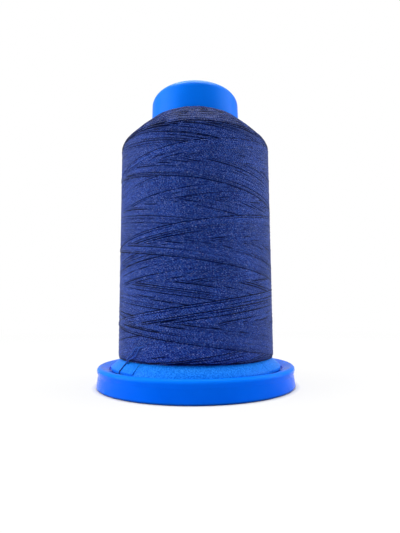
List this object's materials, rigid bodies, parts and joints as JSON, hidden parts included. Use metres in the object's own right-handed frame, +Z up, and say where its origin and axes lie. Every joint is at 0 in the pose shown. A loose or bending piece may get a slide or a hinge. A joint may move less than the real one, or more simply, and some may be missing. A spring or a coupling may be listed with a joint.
{
  "type": "snap-lock thread spool",
  "caption": "Tall plastic spool of cross-wound navy sewing thread, with a collared tube core and a click-lock base ring that lets go or grips the thread's end.",
  "frame": {"origin": "centre of the base's foot, on the surface that the spool stands on", "axes": "+Z up the spool's axis towards the tube's closed end; -Y is the front, where the thread's end lies a little towards -X; +X is to the right of the front"},
  "size_m": [0.05, 0.05, 0.077],
  "materials": {
    "blue_plastic": "moulded, soft gloss",
    "navy_thread": "fine spun sewing thread with a slight sheen"
  },
  "bodies": {
    "base": {"snap_base": "blue_plastic"},
    "spool": {"spool_core": "blue_plastic", "thread_package": "navy_thread", "thread_tail": "navy_thread"}
  },
  "joints": [
    {"name": "snap_lift", "type": "slide", "parent": "base", "child": "spool", "axis": [0, 0, 1], "range_m": [0, 0.003]}
  ]
}
